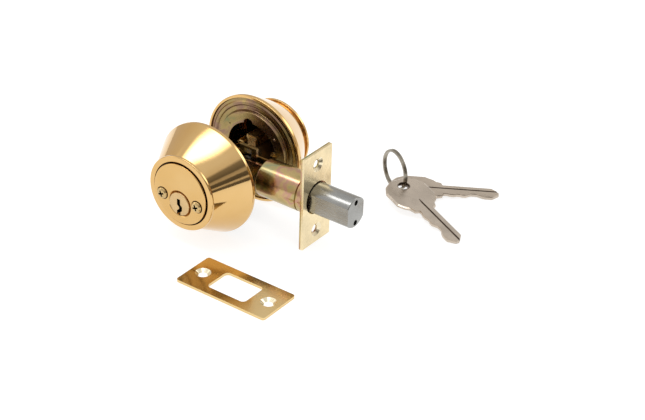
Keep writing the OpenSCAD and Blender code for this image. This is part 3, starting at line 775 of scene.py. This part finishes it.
def make_strike():
    """The plate for the door frame, with its bolt opening and two countersunk holes."""
    low, high = S["strike_low"], S["strike_high"]
    cx, cy = (low.x + high.x) / 2, (low.y + high.y) / 2
    w, h = high.x - low.x, high.y - low.y
    corner_r = 1.7
    outline = rounded_rectangle(w, h, corner_r, cx, cy)
    made = new_object("strike_blank", prism(outline, low.z, high.z), IN_PLACE, "strike_brass")
    opening_w, opening_h, opening_r = 25.4, 17.6, 2.5
    opening = rounded_rectangle(opening_w, opening_h, opening_r, cx, cy, 8)
    cut(made, [(prism(opening, low.z - 1, high.z + 1), IN_PLACE)])
    screw_at, screw_r, sink_r = 22.5, 2.4, 4.5
    sinks = []
    for side in BOTH:
        x = cx + side * screw_at
        sinks.append((countersink(x, cy, low.z + 0.1, high.z, screw_r, sink_r), IN_PLACE))
    cut(made, sinks, "cut_brass")
    round_edges(made, 0.22, 38, 3)
    stand_for(made, "strike", "polished_brass", "strike_plate")


def joint_place(name):
    """Where a key's hole is and which way the key lies, from its joint in the record."""
    joint = next(j for j in frame["joints"] if j["name"] == name)
    ax, ay, az = joint["axis"]
    tilt = math.atan2(math.hypot(ax, ay), az)
    place = Matrix.Translation(Vector(joint["pos_m"]) / MM)
    return place @ Matrix.Rotation(math.atan2(ay, ax), 4, "Z") @ Matrix.Rotation(tilt, 4, "Y")


def key_hole_cutter():
    """A round hole with a small bevel at both faces."""
    hole_r, bevel_r, past = 3.45, 3.75, 3
    edge, face = KEY_HALF_T - 0.3, KEY_HALF_T + 0.01
    return lathe([
        (0, -past), (bevel_r, -past), (bevel_r, -face), (hole_r, -edge), (hole_r, edge),
        (bevel_r, face), (bevel_r, past), (0, past),
    ], 64)


def key_groove_cutter(side):
    """A milled groove that starts shallow at the bow and runs out past the tip."""
    top, deep, brim = KEY_HALF_T + 0.4, KEY_HALF_T - 0.55, KEY_HALF_T - 0.05
    start, full, lift = 13.4, 17.5, 0.75
    section = [(1.5, top), (1.4, deep), (0.85, deep), (0.3, brim), (0.1, top)]
    groove = [(side * y, side * z) for y, z in section]
    lifted = [(y, z + side * lift) for y, z in groove]
    return loft([(lifted, start), (groove, full), (groove, KEY_REACH + 5)])


def make_key(letter, body):
    """A cut key with a bevelled eight-sided bow, a drilled hole and a milled groove on each face."""
    matrix = joint_place(f"key_{letter}_swing")
    bow_bevel, blade_bevel, bevel_h = 0.9, 0.22, 0.55
    wide = [bow_bevel if i in KEY_BOW_EDGES else blade_bevel for i in range(len(KEY_OUTLINE))]
    narrow = inset(KEY_OUTLINE, wide)
    half_t = KEY_HALF_T
    layers = [
        (narrow, -half_t), (KEY_OUTLINE, bevel_h - half_t), (KEY_OUTLINE, half_t - bevel_h),
        (narrow, half_t),
    ]
    made = new_object(f"key_{letter}_blank", loft(layers), matrix, "nickel_silver", 12)
    # The hole and grooves take the dark nickel that is painted shade.
    cut(made, [(key_hole_cutter(), matrix)], "milled_nickel", 12)
    for side in (1, -1):
        cut(made, [(key_groove_cutter(side), matrix @ ALONG_X)], "milled_nickel", 12)
    round_edges(made, 0.09, 15)
    stand_for(made, body, "nickel_silver", f"key_{letter}")


def make_key_ring():
    """A split ring: one flat wire wound nearly twice round, stepping across to its second turn."""
    low, high = frame_mm("key_ring")
    cad_wire_r = 0.8
    wire_w, wire_h, gap = 1.05, 1.5, 0.08
    mean_r = (high.z - low.z - wire_h) / 2
    middle = (low + high) / 2
    upward = Vector((0, 0, 1))
    across = Vector((high.x - low.x, low.y - high.y, 0)) / 2
    across = (across - Vector((cad_wire_r, -cad_wire_r, 0))).normalized()
    axis = upward.cross(across)
    start, end, steps = 30, 690, 220
    step_start, step_turn, ends_turn = 325, 70, 60
    section = soften(rectangle(wire_w, wire_h), 0.3, 3)
    rings = []
    for k in range(steps + 1):
        angle = start + (end - start) * k / steps
        step = min(max((angle - step_start) / step_turn, 0), 1)
        step = step * step * (3 - 2 * step)
        offset = (step - 0.5) * (wire_w + gap)
        turn = math.radians(angle - ends_turn)
        outward = across * math.cos(turn) + upward * math.sin(turn)
        rings.append([middle + outward * (mean_r + v) + axis * (offset + u) for u, v in section])
    made = new_object("key_ring_split", skin(rings), IN_PLACE, "ring_steel")
    stand_for(made, "ring", "dark_steel", "key_ring")


# ---- CAD nodes that stay showing ----

# These nodes get a finish of their own, and the others the one that their material slot names.
OWN_FINISH = {
    "interior_pin_springs": "spring_steel",
    "exterior_pin_springs": "spring_steel",
    # The plug caps take the near-black brass that is painted shade.
    "interior_plug_cap": "aged_brass",
    "exterior_plug_cap": "aged_brass",
    # The bolt tail takes the darkened film, which is painted shade.
    "bolt_tail": "dull_zinc",
}


def dress_cad_nodes():
    """Gives each CAD node that still shows its procedural material."""
    slots = {part["node"]: part["material_slot"] for part in frame["record"]["subparts"]}
    for name, node in frame["nodes"].items():
        if node.hide_render:
            continue
        node.data.materials.clear()
        node.data.materials.append(MATERIALS[OWN_FINISH.get(name, slots[name])])


# ---- Stage ----

def add_camera():
    """A long lens above and to the right of the inside face, turned a little about its own axis."""
    azimuth, elevation, roll = (math.radians(a) for a in (35.2, 31.42, 2.0))
    distance = 1.0249
    aim_right, aim_up = 0.05159, -0.02682
    back = Vector((
        math.sin(azimuth) * math.cos(elevation), -math.cos(azimuth) * math.cos(elevation), math.sin(elevation)
    ))
    level = Vector((math.cos(azimuth), math.sin(azimuth), 0))
    upright = back.cross(level)
    right = math.cos(roll) * level + math.sin(roll) * upright
    up = -math.sin(roll) * level + math.cos(roll) * upright
    data = bpy.data.cameras.new("camera")
    data.sensor_width = 36
    data.lens = 101.23
    data.clip_start = 0.05
    camera = bpy.data.objects.new("camera", data)
    turn = Matrix((right, up, back)).transposed().to_4x4()
    camera.matrix_world = Matrix.Translation(back * distance + right * aim_right + up * aim_up) @ turn
    bpy.context.scene.collection.objects.link(camera)
    bpy.context.scene.camera = camera


def add_floor():
    """A wide pale table under the rims, lit a little from below so that shadows stay faint."""
    reach, z = 6.0, S["floor"] * MM
    mesh = bpy.data.meshes.new("floor")
    corners = [(x, y, z) for x, y in rectangle(2 * reach, 2 * reach)]
    mesh.from_pydata(corners, [], [(0, 1, 2, 3)])
    floor = bpy.data.objects.new("floor", mesh)
    bpy.context.scene.collection.objects.link(floor)
    material, shader = new_material("lit_table", (0.36, 0.36, 0.36), 0.9, metallic=0.0)
    shader.inputs["Specular IOR Level"].default_value = 0.0
    shader.inputs["Emission Color"].default_value = (1, 1, 1, 1)
    shader.inputs["Emission Strength"].default_value = 0.8
    mesh.materials.append(material)


def math_node(tree, operation, first, second):
    """A node that joins two numbers, each a plain one or another node's output."""
    node = tree.nodes.new("ShaderNodeMath")
    node.operation = operation
    for socket, value in zip(node.inputs, (first, second)):
        if isinstance(value, (int, float)):
            socket.default_value = value
        else:
            tree.links.new(value, socket)
    return node.outputs["Value"]


def fade_edges(light):
    """Dims a softbox towards its edges, as cloth over a lamp does, so its reflection has no hard edge."""
    light.use_nodes = True
    tree = light.node_tree
    place = tree.nodes.new("ShaderNodeNewGeometry")
    split = tree.nodes.new("ShaderNodeSeparateXYZ")
    tree.links.new(place.outputs["Parametric"], split.inputs["Vector"])
    humps = []
    for axis in ("X", "Y"):
        across = split.outputs[axis]
        humps.append(math_node(tree, "MULTIPLY", across, math_node(tree, "SUBTRACT", 1, across)))
    middle_hump = 0.25 ** 2
    spread = map_range(tree, math_node(tree, "MULTIPLY", *humps), 0, middle_hump)
    spread.interpolation_type = "SMOOTHSTEP"
    tree.links.new(spread.outputs["Result"], tree.nodes["Emission"].inputs["Strength"])


def add_light(name, place, target, size, power, color=(1, 1, 1)):
    """A softbox at a place, facing a target, both in metres."""
    light = bpy.data.lights.new(name, "AREA")
    light.shape = "RECTANGLE"
    light.size, light.size_y = size
    light.energy = power
    light.color = color
    fade_edges(light)
    made = bpy.data.objects.new(name, light)
    made.location = place
    made.rotation_euler = (Vector(target) - Vector(place)).to_track_quat("-Z", "Y").to_euler()
    bpy.context.scene.collection.objects.link(made)


def sky_color(level, warmth):
    """A grey of that brightness, warmed towards cream."""
    return (level, level * (1 - 0.08 * warmth), level * (1 - 0.18 * warmth))


# How bright and how warm the room is at each height, on its open side and where dim panels stand.
OPEN_SIDE = [(0.0, 0.8, 1), (0.25, 0.85, 0.8), (0.5, 0.9, 0.5), (0.75, 1.0, 0), (1.0, 1.05, 0)]
PANELS = [
    (0.0, 0.12, 1), (0.09, 0.16, 1), (0.11, 0.8, 1), (0.15, 0.7, 1), (0.17, 0.1, 1), (0.29, 0.16, 1),
    (0.31, 0.6, 1), (0.39, 0.5, 1), (0.42, 0.16, 1), (0.58, 0.3, 1), (0.64, 0.9, 0.5), (0.8, 1.0, 0),
]


def add_world():
    """A pale room: bright overhead, with dim panels standing low on the bolt's side."""
    world = bpy.data.worlds.new("room")
    bpy.context.scene.world = world
    world.use_nodes = True
    tree = world.node_tree
    place = tree.nodes.new("ShaderNodeTexCoord")
    split = tree.nodes.new("ShaderNodeSeparateXYZ")
    tree.links.new(place.outputs["Generated"], split.inputs["Vector"])
    bolt_side = map_range(tree, split.outputs["X"], 0.3, 0.6).outputs["Result"]
    near = map_range(tree, split.outputs["Y"], 0.5, 0.2).outputs["Result"]
    blend = tree.nodes.new("ShaderNodeMix")
    blend.data_type = "RGBA"
    tree.links.new(math_node(tree, "MULTIPLY", bolt_side, near), blend.inputs["Factor"])
    # The mix node has sockets for each kind of value, and these are the ones for colours.
    first_color, second_color, mixed_color = 6, 7, 2
    for stops, socket in ((OPEN_SIDE, first_color), (PANELS, second_color)):
        stops = [(at, sky_color(level, warmth)) for at, level, warmth in stops]
        tree.links.new(color_ramp(tree, split.outputs["Z"], stops), blend.inputs[socket])
    background = tree.nodes["Background"]
    background.inputs["Strength"].default_value = 0.85
    tree.links.new(blend.outputs[mixed_color], background.inputs["Color"])


add_camera()
add_floor()
add_world()
add_light("overhead_softbox", (-0.15, -0.2, 0.85), (-0.15, -0.03, 0), (1.15, 0.26), 4.6)
add_light("rear_softbox", (0.5, 0.68, 0.5), (0, 0.03, 0), (0.62, 0.56), 2.4)
add_light("left_softbox", (-0.7, -0.35, 0.35), (0, 0, 0), (0.62, 0.72), 1.6, (1, 0.97, 0.93))
for side, matrix in SIDES.items():
    make_collar(side, matrix)
    make_cylinder_body(side, matrix)
    make_plug(side, matrix)
    make_backplate(side, matrix)
make_screws()
make_latch_tube()
make_latch_nose()
make_edge_plates()
make_bolt()
make_strike()
make_key("a", "first_key")
make_key("b", "second_key")
make_key_ring()
dress_cad_nodes()
bpy.context.scene.view_settings.view_transform = "Standard"
